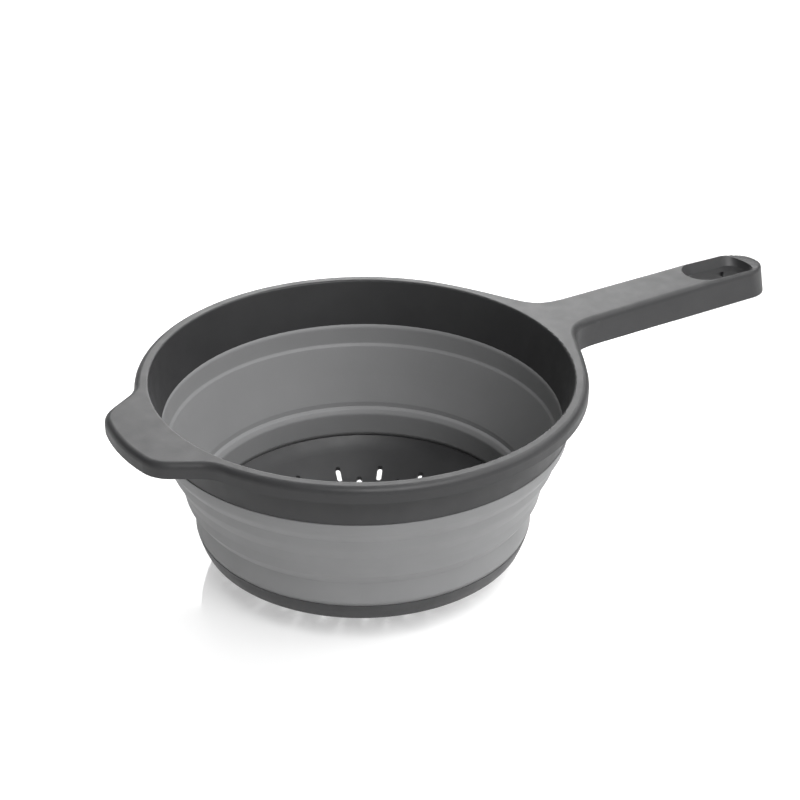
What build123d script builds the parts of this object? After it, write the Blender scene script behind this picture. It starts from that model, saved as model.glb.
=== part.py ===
from build123d import *
from math import asin, cos, radians, sin, tan
import os

# Collapsible colander: rim frame with handle and tab, folding wall, dished strainer base
# Frame: origin at the centre of the base's underside, handle along +X, +Z up, millimetres

# Rim and collar
overall_height = 107.5
rim_radius = 112.5
rim_width = 6.9
rim_edge_round = 3.2
inner_edge_round = 1.0
shell_wall = 2.2
flange_depth = 7.6
collar_depth = 24.5
collar_lean = 5.1
collar_foot_wall = 3.2
collar_waist_wall = 1.6
collar_waist_depth = 10.0
collar_root_wall = 1.2

# Handle and its neck
handle_run = 150.5
handle_depth = 16.0
handle_end_radius = 15.2
nose_draft = 1.6
nose_lean = 3.8
neck_half_width = 15.0
neck_run = 25.5
neck_spread = 32
neck_pull_handle = 26.0
neck_pull_rim = 45.0
sweep_start = 9.0
sweep_length = 17.0
rib_wall = 1.6
rib_gap = 18.0
rib_count = 5
rib_rise = 2.5
rib_offset = 2.0

# Hang slot, with a sloping mouth over an upright way
slot_length = 38.8
slot_width = 16.8
slot_depth = 8.6
slot_end_bar = 11.0
slot_mouth_depth = 5.2
slot_mouth_side = 3.4
slot_mouth_end = 4.9
slot_rib_offset = 15.5
slot_rib_wall = 1.2

# Helper tab
tab_run = 18.8
tab_front_radius = 97.0
tab_corner_half_width = 28.3
tab_root_angle = 22
tab_corner_round = 18.0
tab_root_round = 20.0
tab_rib_gap = 18.0
tab_corner_share = 0.6

# Strainer base
base_flat_radius = 42.0
base_bend_radius = 45.0
base_slope = 30
base_edge_height = 17.0
base_edge_round = 1.0
base_wall = 2.0
skirt_rise = 9.0
skirt_flare = 2.9
skirt_bulge = 0.25
lip_wall = 1.2
seat_depth = 4.5
seat_width = 1.1
bowl_turn_inset = 6.5

# Drain slots
drain_length = 8.0
drain_width = 2.8
drain_corner = 0.8
drain_turn = 1
drain_outer_radius = 68.8
drain_pitch = 6.1
drain_count = 18
full_drain_rings = 6
half_drain_rings = 3

# Folding wall
bond_gap = 0.1
running_gap = 0.35
band_wall = 1.9
upper_band_depth = 10.0
upper_band_lean = 3.6
upper_band_bulge = 0.55
upper_band_step = 0.4
hinge_lip = 1.4
hinge_overlap = 0.6
fold_shoulder_drop = 7.0
fold_shoulder_lean = 0.3
fold_shoulder_round = 8.0
lower_hinge_rise = 16.0
lower_band_step = 0.2
lower_band_flare = 0.9
lower_band_drop = 0.8
lower_band_inset = 0.4
lower_band_roll = 4.0
lower_band_roll_width = 2.0

# Overrun of every cut
overrun = 5.0

# Rim radii, reaches and levels
collar_top_radius = rim_radius - rim_width
collar_foot_radius = collar_top_radius - collar_lean
collar_foot_height = overall_height - collar_depth
collar_waist_height = overall_height - collar_waist_depth
web_height = overall_height - shell_wall
flange_height = overall_height - flange_depth
handle_floor = overall_height - handle_depth
handle_reach = rim_radius + handle_run
neck_start = rim_radius + neck_run
tab_reach = rim_radius + tab_run
neck_normal = Vector(1, 0).rotate(Axis.Z, neck_spread)
tab_root_normal = Vector(-1, 0).rotate(Axis.Z, -tab_root_angle)


def collar_inner_radius(height):
    return collar_top_radius - collar_lean * (overall_height - height) / collar_depth


# Plan of the rim, handle and tab at one height, drawn in by an inset. The nose leans out downwards
def frame_plan(height, inset):
    rise_share = (height - handle_floor) / handle_depth
    nose_radius = handle_end_radius - nose_draft * rise_share
    nose_centre = handle_reach - handle_end_radius - nose_lean * rise_share
    taper = asin((neck_half_width - nose_radius) / (nose_centre - neck_start))
    side_normal = Vector(sin(taper), cos(taper))
    radius = rim_radius - inset
    rim_point = neck_normal * radius
    rim_control = rim_point + neck_normal.rotate(Axis.Z, -90) * neck_pull_rim
    neck_point = Vector(neck_start, 0) + side_normal * (neck_half_width - inset)
    neck_control = neck_point - side_normal.rotate(Axis.Z, -90) * neck_pull_handle
    nose_point = Vector(nose_centre, 0) + side_normal * (nose_radius - inset)
    tab_root = tab_root_normal * radius
    front_radius = tab_front_radius - inset
    corner_half_width = tab_corner_half_width - inset * tab_corner_share
    corner_drop = front_radius * (1 - cos(asin(corner_half_width / front_radius)))
    tab_corner = Vector(inset + corner_drop - tab_reach, corner_half_width)
    with BuildSketch(Plane.XY.offset(height)) as plan:
        Circle(radius)
        with BuildLine():
            Line((0, 0), rim_point)
            Bezier(rim_point, rim_control, neck_control, neck_point)
            Line(neck_point, nose_point)
            RadiusArc(nose_point, (nose_centre + nose_radius - inset, 0), nose_radius - inset)
            mirror(about=Plane.XZ)
        make_face()
        with BuildLine():
            Line((0, 0), tab_root)
            Line(tab_root, tab_corner)
            RadiusArc(tab_corner, (inset - tab_reach, 0), -front_radius)
            mirror(about=Plane.XZ)
        make_face()
        fillet(plan.vertices().group_by(Axis.X)[0], tab_corner_round - inset)
        roots = plan.vertices().filter_by_position(Axis.X, tab_root.X, tab_root.X)
        fillet(roots, tab_root_round + inset)
    return plan.sketch


# Places along the handle
sweep_begin = rim_radius - sweep_start
sweep_end = sweep_begin + sweep_length
first_rib = sweep_end + rib_wall + rib_offset
rib_floor = handle_floor + rib_rise
tab_rib_floor = flange_height + rib_rise
slot_centre = handle_reach - slot_end_bar - slot_length / 2
slot_floor = overall_height - slot_depth
slot_mouth_floor = overall_height - slot_mouth_depth
slot_mouth_centre = slot_centre + (slot_mouth_end - slot_mouth_side) / 2
spine_length = slot_centre - slot_length / 2 - first_rib


# Plans of the hang slot and of its mouth's rim, drawn out by a wall
def slot_plan(height, wall):
    with BuildSketch(Plane.XY.offset(height)) as plan:
        with Locations((slot_centre, 0)):
            SlotOverall(slot_length + 2 * wall, slot_width + 2 * wall)
    return plan.sketch


def slot_mouth_plan(wall):
    with BuildSketch(Plane.XY.offset(overall_height)) as plan:
        with Locations((slot_mouth_centre, 0)):
            SlotOverall(
                slot_length + slot_mouth_side + slot_mouth_end + 2 * wall,
                slot_width + 2 * (slot_mouth_side + wall),
            )
    return plan.sketch


# Hollow under the frame, which leaves the ribs and the wall round the hang slot standing
with BuildPart() as frame_hollow:
    hollow_foot = handle_floor - overrun
    loft([frame_plan(hollow_foot, shell_wall), frame_plan(web_height, shell_wall)], ruled=True)
    slot_casing = [slot_plan(slot_mouth_floor, shell_wall), slot_mouth_plan(shell_wall)]
    loft(slot_casing, ruled=True, mode=Mode.SUBTRACT)
    extrude(slot_plan(slot_floor, shell_wall), amount=slot_mouth_floor - slot_floor, mode=Mode.SUBTRACT)
    with BuildSketch(Plane.XY.offset(rib_floor)):
        with Locations((first_rib, 0)):
            Rectangle(spine_length, rib_wall, align=(Align.MIN, Align.CENTER))
        for rib in range(rib_count):
            with Locations((first_rib + rib * rib_gap, 0)):
                Rectangle(rib_wall, rim_radius)
        with Locations((slot_centre + slot_rib_offset, 0)):
            Rectangle(slot_rib_wall, rim_radius)
            Rectangle(slot_rib_wall, slot_width + 2 * shell_wall, mode=Mode.SUBTRACT)
    extrude(amount=handle_depth, mode=Mode.SUBTRACT)
    with BuildSketch(Plane.XY.offset(tab_rib_floor)):
        with Locations((-tab_reach, 0)):
            with GridLocations(0, tab_rib_gap, 1, 3):
                Rectangle(tab_reach, rib_wall, align=(Align.MIN, Align.CENTER))
    extrude(amount=flange_depth, mode=Mode.SUBTRACT)

# Rim frame: rim, collar, handle and tab in one moulding
with BuildPart() as rim_frame:
    # Full depth, then the underside rises from the handle to the flange
    loft([frame_plan(handle_floor, 0), frame_plan(overall_height, 0)], ruled=True)
    with BuildSketch(Plane.XZ):
        with BuildLine():
            low_start = (-tab_reach - overrun, handle_floor - overrun)
            high_start = (-tab_reach - overrun, flange_height)
            Polyline(low_start, high_start, (sweep_begin, flange_height))
            Bezier(
                (sweep_begin, flange_height),
                (sweep_begin + sweep_length / 2, flange_height),
                (sweep_end - sweep_length / 2, handle_floor),
                (sweep_end, handle_floor),
            )
            Polyline((sweep_end, handle_floor), (sweep_end, handle_floor - overrun), low_start)
        make_face()
    extrude(amount=rim_radius + overrun, both=True, mode=Mode.SUBTRACT)
    fillet(rim_frame.faces().sort_by(Axis.Z)[-1].edges(), rim_edge_round)

    # Open underside
    add(frame_hollow.part, mode=Mode.SUBTRACT)

    # Hang slot
    loft([slot_plan(slot_mouth_floor, 0), slot_mouth_plan(0)], ruled=True, mode=Mode.SUBTRACT)
    extrude(slot_mouth_plan(0), amount=overrun, mode=Mode.SUBTRACT)
    extrude(slot_plan(slot_floor - overrun, 0), amount=handle_depth, mode=Mode.SUBTRACT)

    # Collar below the rim
    with BuildSketch(Plane.XZ):
        with BuildLine():
            Polyline(
                (collar_foot_radius, collar_foot_height),
                (collar_foot_radius + collar_foot_wall, collar_foot_height),
                (collar_inner_radius(collar_waist_height) + collar_waist_wall, collar_waist_height),
                (collar_inner_radius(web_height) + collar_root_wall, web_height),
                (collar_inner_radius(web_height) + collar_root_wall, overall_height),
                (collar_top_radius, overall_height),
                close=True,
            )
        make_face()
    revolve(axis=Axis.Z)

    # Bowl inside the collar
    cut_floor = handle_floor - collar_depth
    cut_top = overall_height + overrun
    with BuildSketch(Plane.XZ):
        with BuildLine():
            Polyline(
                (0, cut_floor),
                (collar_inner_radius(cut_floor), cut_floor),
                (collar_inner_radius(cut_top), cut_top),
                (0, cut_top),
                close=True,
            )
        make_face()
    revolve(axis=Axis.Z, mode=Mode.SUBTRACT)
    top_edges = rim_frame.faces().sort_by(Axis.Z)[-1].edges()
    fillet(top_edges.filter_by(lambda edge: edge.is_closed), inner_edge_round)

rim_frame.part.label = "rim_frame"

# Levels and radii of the folding wall
upper_hinge_height = collar_foot_height - upper_band_depth
upper_ridge_radius = collar_foot_radius + collar_foot_wall + upper_band_step - upper_band_lean
upper_band_inner = upper_ridge_radius - band_wall
upper_band_floor = upper_hinge_height - hinge_lip
fold_top_radius = upper_band_inner - running_gap
fold_top = upper_band_floor + hinge_overlap
fold_shoulder_height = upper_hinge_height - fold_shoulder_drop - hinge_lip / 2
base_edge_radius = (
    base_flat_radius
    + base_bend_radius * sin(radians(base_slope))
    + (base_edge_height - base_bend_radius * (1 - cos(radians(base_slope)))) / tan(radians(base_slope))
)
lip_radius = base_edge_radius + skirt_flare
lip_height = base_edge_height + skirt_rise
seat_height = lip_height - seat_depth
lower_hinge_height = lip_height + lower_hinge_rise
lower_band_foot = lip_radius - lower_band_step
lower_band_top = lower_band_foot + lower_band_flare
lower_band_height = lower_hinge_height - lower_band_drop
seat_outer = lip_radius - lip_wall
seat_inner = seat_outer - bond_gap - seat_width
fold_foot_inner = lower_band_top + running_gap
fold_ridge_radius = fold_foot_inner + band_wall
fold_foot = lower_hinge_height - hinge_lip

# Upper band, bonded under the collar
with BuildPart() as wall_upper_band:
    with BuildSketch(Plane.XZ):
        band_top = (collar_foot_radius + collar_foot_wall + upper_band_step, collar_foot_height)
        with BuildLine():
            SagittaArc(band_top, (upper_ridge_radius, upper_hinge_height), upper_band_bulge)
            Polyline(
                (upper_ridge_radius, upper_hinge_height),
                (upper_ridge_radius - hinge_lip / 2, upper_band_floor),
                (upper_band_inner, upper_band_floor),
                (collar_foot_radius, collar_foot_height),
                band_top,
            )
        make_face()
    revolve(axis=Axis.Z)

wall_upper_band.part.label = "wall_upper_band"

# Fold band, between the two living hinges
with BuildPart() as wall_fold_band:
    with BuildSketch(Plane.XZ):
        shoulder = (fold_top_radius - fold_shoulder_lean, fold_shoulder_height)
        inner_shoulder = (shoulder[0] - band_wall, fold_shoulder_height)
        with BuildLine():
            FilletPolyline(
                (fold_top_radius, fold_top),
                shoulder,
                (fold_ridge_radius, lower_hinge_height),
                radius=fold_shoulder_round,
            )
            Polyline(
                (fold_ridge_radius, lower_hinge_height),
                (fold_ridge_radius - hinge_lip / 2, fold_foot),
                (fold_foot_inner, fold_foot),
                (fold_foot_inner, lower_hinge_height),
            )
            FilletPolyline(
                (fold_foot_inner, lower_hinge_height),
                inner_shoulder,
                (fold_top_radius - band_wall, fold_top),
                radius=fold_shoulder_round,
            )
            Line((fold_top_radius - band_wall, fold_top), (fold_top_radius, fold_top))
        make_face()
    revolve(axis=Axis.Z)

wall_fold_band.part.label = "wall_fold_band"

# Lower band, its foot seated inside the lip of the base
with BuildPart() as wall_lower_band:
    with BuildSketch(Plane.XZ):
        roll_start = (seat_inner - lower_band_inset, lower_band_height - lower_band_roll)
        roll_end = (roll_start[0] + lower_band_roll_width, lower_band_height)
        with BuildLine():
            Polyline(
                roll_end,
                (lower_band_top, lower_band_height),
                (lower_band_foot, lip_height),
                (seat_outer - bond_gap, lip_height),
                (seat_outer - bond_gap, seat_height),
                (seat_inner, seat_height),
                roll_start,
            )
            TangentArc(roll_start, roll_end, tangent=(0, 1))
        make_face()
    revolve(axis=Axis.Z)

wall_lower_band.part.label = "wall_lower_band"

# Dished strainer base
slope = radians(base_slope)
bend_end = Vector(
    base_flat_radius + base_bend_radius * sin(slope),
    base_bend_radius * (1 - cos(slope)),
)
inner_bend = base_bend_radius - base_wall
inner_bend_end = Vector(
    base_flat_radius + inner_bend * sin(slope),
    base_bend_radius - inner_bend * cos(slope),
)
bowl_run = (base_edge_radius - bowl_turn_inset - inner_bend_end.X)
bowl_turn = inner_bend_end + Vector(bowl_run, bowl_run * tan(slope))

with BuildPart() as strainer_base:
    with BuildSketch(Plane.XZ):
        with BuildLine():
            Line((0, 0), (base_flat_radius, 0))
            TangentArc((base_flat_radius, 0), bend_end, tangent=(1, 0))
            Line(bend_end, (base_edge_radius, base_edge_height))
            SagittaArc((base_edge_radius, base_edge_height), (lip_radius, lip_height), -skirt_bulge)
            Polyline(
                (lip_radius, lip_height),
                (seat_outer, lip_height),
                (seat_outer, seat_height),
                (seat_inner, seat_height),
            )
            TangentArc(bowl_turn, (seat_inner, seat_height), tangent=(cos(slope), sin(slope)))
            Line(bowl_turn, inner_bend_end)
            TangentArc((base_flat_radius, base_wall), inner_bend_end, tangent=(1, 0))
            Polyline((base_flat_radius, base_wall), (0, base_wall), (0, 0))
        make_face()
    revolve(axis=Axis.Z)
    lower_rims = strainer_base.edges().filter_by(GeomType.CIRCLE)
    fillet(lower_rims.filter_by_position(Axis.Z, base_edge_height, base_edge_height), base_edge_round)

    # Rings of radial drain slots, each ring turned half a pitch from the last
    with BuildSketch(mode=Mode.PRIVATE) as drain:
        Rectangle(drain_length, drain_width)
        chamfer(drain.vertices(), drain_corner)
    with BuildSketch():
        for ring in range(full_drain_rings + half_drain_rings):
            count = drain_count if ring < full_drain_rings else drain_count // 2
            slot_radius = drain_outer_radius - drain_length / 2 - ring * drain_pitch
            turn = drain_turn + 180 / drain_count * (1 + ring % 2)
            with PolarLocations(slot_radius, count, start_angle=turn):
                add(drain.sketch)
    extrude(amount=lip_height, mode=Mode.SUBTRACT)

strainer_base.part.label = "strainer_base"

os.makedirs("parts", exist_ok=True)
for piece in (rim_frame, wall_upper_band, wall_fold_band, wall_lower_band, strainer_base):
    export_step(piece.part, f"parts/{piece.part.label}.step")
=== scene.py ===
from math import cos, hypot, pi, radians, sin, tan

import bpy
from mathutils import Matrix, Vector


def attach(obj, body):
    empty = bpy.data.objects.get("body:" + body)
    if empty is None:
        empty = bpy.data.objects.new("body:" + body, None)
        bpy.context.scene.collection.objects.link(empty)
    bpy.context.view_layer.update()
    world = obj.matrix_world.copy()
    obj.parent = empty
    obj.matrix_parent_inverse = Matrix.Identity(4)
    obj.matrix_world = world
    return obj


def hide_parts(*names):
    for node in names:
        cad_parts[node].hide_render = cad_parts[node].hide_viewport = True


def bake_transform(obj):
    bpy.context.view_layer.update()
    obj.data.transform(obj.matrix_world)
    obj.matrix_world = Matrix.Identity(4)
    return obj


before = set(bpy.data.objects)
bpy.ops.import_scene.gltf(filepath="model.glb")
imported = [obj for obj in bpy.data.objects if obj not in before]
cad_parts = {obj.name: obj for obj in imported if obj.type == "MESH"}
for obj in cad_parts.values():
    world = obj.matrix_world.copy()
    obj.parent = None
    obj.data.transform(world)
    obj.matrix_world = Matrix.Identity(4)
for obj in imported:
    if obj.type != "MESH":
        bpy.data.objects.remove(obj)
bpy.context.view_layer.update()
scene = bpy.context.scene
MM = 0.001

# Camera of the photograph, in metres and degrees, measured about the rim's centre
RIM_LEVEL = 0.1063
CAMERA_DISTANCE = 0.8654
CAMERA_ELEVATION = 27.989
CAMERA_YAW = -1.2366
CAMERA_PITCH = -0.930
CAMERA_ROLL = 0.497
CAMERA_LENS = 78.37
SENSOR_WIDTH = 36.0
CLIP_START = 0.01
CLIP_END = 100
HANDLE_AZIMUTH = 31.0

# Turn from the camera's axes (x right, y away, z up) to the part's
VIEW_TURN = Matrix.Rotation(radians(-HANDLE_AZIMUTH), 3, "Z")

# Softboxes of the studio: azimuth and elevation seen from the rim, with 0 to the camera's right
# and 90 behind the object, then the side in metres and the power
SOFTBOXES = (
    ("front_right_light", 296, 52, 1.4, 60),
    ("low_right_light", 318, 20, 1.2, 5),
    ("right_light", 0, 40, 1.2, 20),
    ("top_light", 20, 70, 1.2, 12),
    ("back_right_light", 58, 43, 1.2, 23),
    ("back_left_light", 120, 45, 1.2, 11),
    ("back_light", 90, 20, 1.2, 27),
)
SOFTBOX_DISTANCE = 2.4
WORLD_STRENGTH = 0.02

# Table and backdrop: colour, gloss and glow
STAGE_COLOUR = (0.64, 0.64, 0.64, 1)
STAGE_ROUGHNESS = 0.06
STAGE_IOR = 1.6
TABLE_GLOW = 0.43
FAR_GLOW = 0.9
BACKDROP_GLOW = 0.6

# Table and backdrop: distances in metres where the table's glow rises, and sizes
GLOW_START = 1.2
GLOW_FULL = 3.5
BACKDROP_RADIUS = 9.0
BACKDROP_HEIGHT = 1.5
BACKDROP_SEGMENTS = 96

# Moulded materials: part of the noise that is used, detail of each noise, scale of the gloss
# against the clouds, and depth of the grain in metres
NOISE_LOW = 0.3
NOISE_HIGH = 0.7
CLOUD_DETAIL = 4
GLOSS_DETAIL = 3
GRAIN_DETAIL = 2
GLOSS_SCALE = 3
GRAIN_DEPTH = 0.00001

# Folding wall's section in millimetres: radius, height, rounding of the corner
WALL_SECTION = (
    (104.1, 83.0, 0.3),
    (102.9, 76.6, 8.0),
    (100.4, 72.8, 1.0),
    (99.4, 71.2, 1.0),
    (97.9, 65.2, 8.0),
    (94.5, 58.6, 6.0),
    (92.3, 52.0, 8.0),
    (90.9, 45.4, 2.0),
    (88.9, 42.5, 1.2),
    (87.35, 40.0, 1.5),
    (86.2, 26.0, 0.0),
    (85.15, 26.0, 0.0),
    (85.15, 21.6, 0.0),
    (84.0, 21.6, 0.0),
    (83.5, 35.4, 3.0),
    (84.9, 38.0, 2.0),
    (86.6, 38.8, 0.4),
    (86.9, 41.4, 1.5),
    (92.1, 55.5, 30.0),
    (97.5, 70.9, 1.4),
    (98.7, 72.3, 1.6),
    (100.5, 83.0, 0.0),
)
WALL_SEGMENTS = 256

# Corners of the section: smallest turn that is rounded, share of a run that an arc may take, and
# steps of an arc. Runs are divided to about the long step, in millimetres
LEAST_TURN = 1e-4
ARC_SHARE = 0.48
ARC_STEPS = 6
LONG_STEP = 2.5

# Handle's end in metres: the stretch where it drops, the drop, and how far its top reaches out
DIP_START = 0.212
DIP_FULL = 0.246
DIP = 0.0008
NOSE_START = 0.248
NOSE_FULL = 0.258
NOSE_FLOOR = 0.0915
NOSE_TOP = 0.1075
NOSE_REACH = 0.0026
NOSE_POWER = 0.6

# Hang slot's mouth in metres: its outer end's centre and radius, the band beside it that follows,
# the foot of its slope, and how far that end draws in and sinks
MOUTH_CENTRE = 0.2451
MOUTH_RADIUS = 0.0118
MOUTH_BAND = 0.0012
MOUTH_FOOT = 0.1023
MOUTH_DRAW = 0.0032
MOUTH_SINK = 0.0016


def make_camera():
    elevation = radians(CAMERA_ELEVATION)
    place = Vector((0, -CAMERA_DISTANCE * cos(elevation), CAMERA_DISTANCE * sin(elevation)))
    forward = Vector((0, cos(elevation), -sin(elevation)))
    right = Vector((1, 0, 0))
    yaw = Matrix.Rotation(radians(CAMERA_YAW), 3, right.cross(forward))
    forward, right = yaw @ forward, yaw @ right
    forward = Matrix.Rotation(radians(CAMERA_PITCH), 3, right) @ forward
    right = Matrix.Rotation(radians(CAMERA_ROLL), 3, forward) @ right
    up = right.cross(forward)
    axes = Matrix([VIEW_TURN @ right, VIEW_TURN @ up, VIEW_TURN @ -forward]).transposed()
    camera = bpy.data.objects.new("photo_camera", bpy.data.cameras.new("photo_camera"))
    camera.data.lens = CAMERA_LENS
    camera.data.sensor_width = SENSOR_WIDTH
    camera.data.clip_start = CLIP_START
    camera.data.clip_end = CLIP_END
    rim_centre = Vector((0, 0, RIM_LEVEL))
    camera.matrix_world = Matrix.Translation(VIEW_TURN @ place + rim_centre) @ axes.to_4x4()
    scene.collection.objects.link(camera)
    scene.camera = camera


# Share of the way from low to high, from 0 to 1
def share_of(value, low, high):
    return min(max((value - low) / (high - low), 0), 1)


# The same share, eased at both ends
def smooth_share(value, low, high):
    share = share_of(value, low, high)
    return share * share * (3 - 2 * share)


# Value mapped to a range in a material's nodes
def mapped_value(tree, value, value_low, value_high, low, high):
    spread = tree.nodes.new("ShaderNodeMapRange")
    spread.inputs["From Min"].default_value = value_low
    spread.inputs["From Max"].default_value = value_high
    spread.inputs["To Min"].default_value = low
    spread.inputs["To Max"].default_value = high
    tree.links.new(value, spread.inputs["Value"])
    return spread.outputs["Result"]


# Noise of the object's own coordinates, mapped to a range
def noise_range(tree, scale, detail, low, high):
    place = tree.nodes.new("ShaderNodeTexCoord")
    noise = tree.nodes.new("ShaderNodeTexNoise")
    noise.inputs["Scale"].default_value = scale
    noise.inputs["Detail"].default_value = detail
    tree.links.new(place.outputs["Object"], noise.inputs["Vector"])
    return mapped_value(tree, noise.outputs["Fac"], NOISE_LOW, NOISE_HIGH, low, high)


def new_material(name):
    material = bpy.data.materials.new(name)
    material.use_nodes = True
    return material, material.node_tree, material.node_tree.nodes["Principled BSDF"]


# Moulded material: two close colours in soft clouds, uneven roughness and a fine grain
def moulded(name, colours, cloud_scale, roughness, grain_scale, specular, sheen=0.0):
    material, tree, shader = new_material(name)
    mix = tree.nodes.new("ShaderNodeMix")
    mix.data_type = "RGBA"
    for socket, colour in zip([s for s in mix.inputs if s.type == "RGBA"], colours):
        socket.default_value = (*colour, 1)
    result = next(s for s in mix.outputs if s.type == "RGBA")
    clouds = noise_range(tree, cloud_scale, CLOUD_DETAIL, 0, 1)
    tree.links.new(clouds, mix.inputs["Factor"])
    tree.links.new(result, shader.inputs["Base Color"])
    gloss = noise_range(tree, cloud_scale * GLOSS_SCALE, GLOSS_DETAIL, *roughness)
    tree.links.new(gloss, shader.inputs["Roughness"])
    bump = tree.nodes.new("ShaderNodeBump")
    bump.inputs["Strength"].default_value = 1.0
    bump.inputs["Distance"].default_value = GRAIN_DEPTH
    grain = noise_range(tree, grain_scale, GRAIN_DETAIL, 0, 1)
    tree.links.new(grain, bump.inputs["Height"])
    tree.links.new(bump.outputs["Normal"], shader.inputs["Normal"])
    shader.inputs["Specular IOR Level"].default_value = specular
    shader.inputs["Sheen Weight"].default_value = sheen
    return material


# White surface that glows with the distance from the object
def glowing_white(name, near_glow, far_glow):
    material, tree, shader = new_material(name)
    shader.inputs["Base Color"].default_value = STAGE_COLOUR
    shader.inputs["Roughness"].default_value = STAGE_ROUGHNESS
    shader.inputs["IOR"].default_value = STAGE_IOR
    shader.inputs["Emission Color"].default_value = (1, 1, 1, 1)
    place = tree.nodes.new("ShaderNodeTexCoord")
    distance = tree.nodes.new("ShaderNodeVectorMath")
    distance.operation = "LENGTH"
    tree.links.new(place.outputs["Object"], distance.inputs[0])
    length = distance.outputs["Value"]
    glow = mapped_value(tree, length, GLOW_START, GLOW_FULL, near_glow, far_glow)
    tree.links.new(glow, shader.inputs["Emission Strength"])
    return material


# Object with one material, in the scene
def add_object(name, mesh, material):
    mesh.materials.clear()
    mesh.materials.append(material)
    added = bpy.data.objects.new(name, mesh)
    scene.collection.objects.link(added)
    return added


# Section with its corners turned to arcs and its long runs divided
def rounded_section(corners):
    points = []
    count = len(corners)
    for number, (radius, height, rounding) in enumerate(corners):
        corner = Vector((radius, height))
        before = Vector(corners[number - 1][:2]) - corner
        after = Vector(corners[(number + 1) % count][:2]) - corner
        turn = pi - before.angle(after)
        if rounding == 0 or turn < LEAST_TURN:
            points.append(corner)
            continue
        reach = rounding * tan(turn / 2)
        reach = min(reach, before.length * ARC_SHARE, after.length * ARC_SHARE)
        start = corner + before.normalized() * reach
        inward = (before.normalized() + after.normalized()).normalized()
        arc_radius = reach / tan(turn / 2)
        centre = corner + inward * (arc_radius / cos(turn / 2))
        side = 1 if before.x * after.y - before.y * after.x < 0 else -1
        for step in range(ARC_STEPS + 1):
            arm = start - centre
            arm.rotate(Matrix.Rotation(side * turn * step / ARC_STEPS, 2))
            points.append(centre + arm)
    divided = []
    for number, point in enumerate(points):
        follower = points[(number + 1) % len(points)]
        parts = max(1, round((follower - point).length / LONG_STEP))
        divided += [point.lerp(follower, part / parts) for part in range(parts)]
    return divided


# Soft ring in place of the three bands
def make_wall():
    section = rounded_section(WALL_SECTION)
    rings = len(section)
    places = []
    faces = []
    for segment in range(WALL_SEGMENTS):
        angle = 2 * pi * segment / WALL_SEGMENTS
        places += [(p.x * MM * cos(angle), p.x * MM * sin(angle), p.y * MM) for p in section]
        here = segment * rings
        there = (segment + 1) % WALL_SEGMENTS * rings
        for ring in range(rings):
            follower = (ring + 1) % rings
            faces.append((here + ring, here + follower, there + follower, there + ring))
    mesh = bpy.data.meshes.new("folding_wall")
    mesh.from_pydata(places, [], faces)
    mesh.update()
    mesh.shade_smooth()
    wall = add_object("folding_wall", mesh, soft_wall)
    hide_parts("wall_upper_band", "wall_fold_band", "wall_lower_band")
    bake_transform(wall)


# Rim frame with the photograph's steeper nose and shallower slope between nose and hang slot
def make_frame():
    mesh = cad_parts["rim_frame"].data.copy()
    mesh.name = "handle_frame"
    longest = max(vertex.co.x for vertex in mesh.vertices)
    for vertex in mesh.vertices:
        x, y, z = vertex.co
        out = x - MOUTH_CENTRE
        mouth = 0
        if out > 0:
            mouth = 1 - smooth_share(hypot(out, y), MOUTH_RADIUS, MOUTH_RADIUS + MOUTH_BAND)
        slope = mouth * min(out / MOUTH_RADIUS, 1) * share_of(z, MOUTH_FOOT, NOSE_TOP)
        rise = share_of(z, NOSE_FLOOR, NOSE_TOP) ** NOSE_POWER
        reach = NOSE_REACH * smooth_share(x, NOSE_START, NOSE_FULL) * rise * (1 - mouth)
        vertex.co.x = min(x + reach - MOUTH_DRAW * slope, longest)
        vertex.co.z = z - MOUTH_SINK * slope - DIP * smooth_share(x, DIP_START, DIP_FULL)
    mesh.update()
    piece = add_object("handle_frame", mesh, dark_plastic)
    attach(piece, "rim")
    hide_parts("rim_frame")


# Glossy pale table
def make_floor():
    half = BACKDROP_RADIUS
    corners = [(-half, -half, 0), (half, -half, 0), (half, half, 0), (-half, half, 0)]
    mesh = bpy.data.meshes.new("floor")
    mesh.from_pydata(corners, [], [(0, 1, 2, 3)])
    floor = add_object("floor", mesh, glowing_white("floor_white", TABLE_GLOW, FAR_GLOW))


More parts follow.
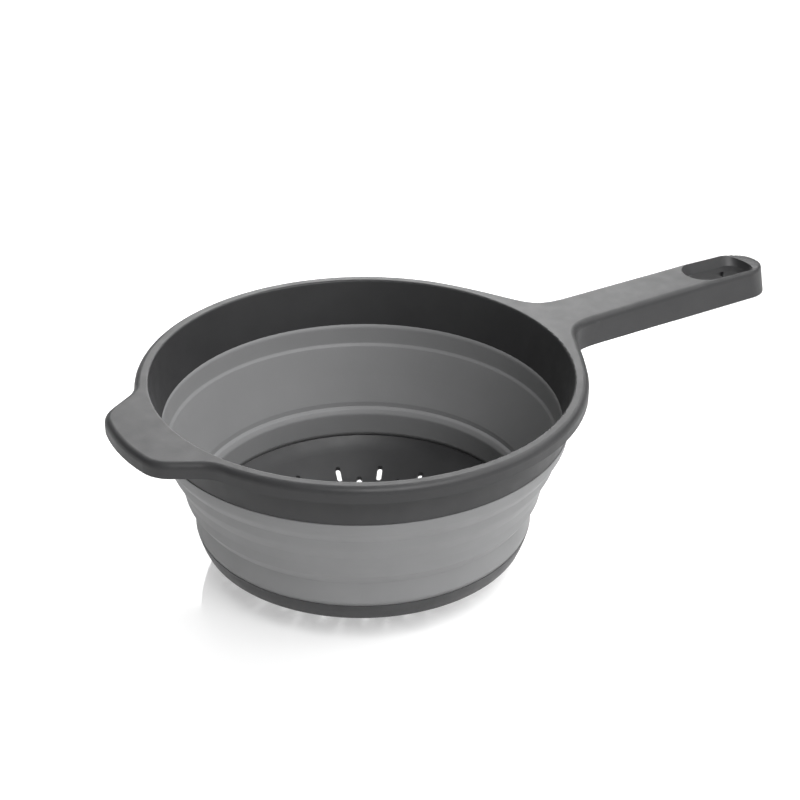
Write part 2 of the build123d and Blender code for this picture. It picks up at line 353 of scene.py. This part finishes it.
# Low round wall, far behind the object on every side
def make_backdrop():
    places = []
    faces = []
    for segment in range(BACKDROP_SEGMENTS):
        angle = 2 * pi * segment / BACKDROP_SEGMENTS
        x, y = BACKDROP_RADIUS * cos(angle), BACKDROP_RADIUS * sin(angle)
        places += [(x, y, 0), (x, y, BACKDROP_HEIGHT)]
        here = 2 * segment
        there = 2 * ((segment + 1) % BACKDROP_SEGMENTS)
        faces.append((here, here + 1, there + 1, there))
    mesh = bpy.data.meshes.new("backdrop")
    mesh.from_pydata(places, [], faces)
    white = glowing_white("backdrop_white", BACKDROP_GLOW, BACKDROP_GLOW)
    backdrop = add_object("backdrop", mesh, white)


# Square soft light, aimed at the rim's centre
def make_softbox(name, azimuth, elevation, side, power):
    light = bpy.data.lights.new(name, "AREA")
    light.shape = "SQUARE"
    light.size = side
    light.energy = power
    lamp = bpy.data.objects.new(name, light)
    turn, rise = radians(azimuth), radians(elevation)
    arm = VIEW_TURN @ Vector((cos(rise) * cos(turn), cos(rise) * sin(turn), sin(rise)))
    lamp.location = arm * SOFTBOX_DISTANCE + Vector((0, 0, RIM_LEVEL))
    lamp.rotation_euler = (-arm).to_track_quat("-Z", "Y").to_euler()
    scene.collection.objects.link(lamp)


def make_world():
    world = bpy.data.worlds.new("studio")
    world.use_nodes = True
    background = world.node_tree.nodes["Background"]
    background.inputs["Color"].default_value = (1, 1, 1, 1)
    background.inputs["Strength"].default_value = WORLD_STRENGTH
    scene.world = world


dark_plastic = moulded(
    "dark_plastic_grain",
    colours=((0.026, 0.026, 0.027), (0.031, 0.031, 0.032)),
    cloud_scale=40,
    roughness=(0.42, 0.50),
    grain_scale=1800,
    specular=0.33,
)
soft_wall = moulded(
    "soft_wall_matt",
    colours=((0.175, 0.176, 0.178), (0.187, 0.188, 0.190)),
    cloud_scale=30,
    roughness=(0.52, 0.60),
    grain_scale=1200,
    specular=0.35,
    sheen=0.07,
)

scene.view_settings.view_transform = "Standard"
make_camera()
make_wall()
make_frame()
base_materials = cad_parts["strainer_base"].data.materials
base_materials.clear()
base_materials.append(dark_plastic)
make_floor()
make_backdrop()
for softbox in SOFTBOXES:
    make_softbox(*softbox)
make_world()
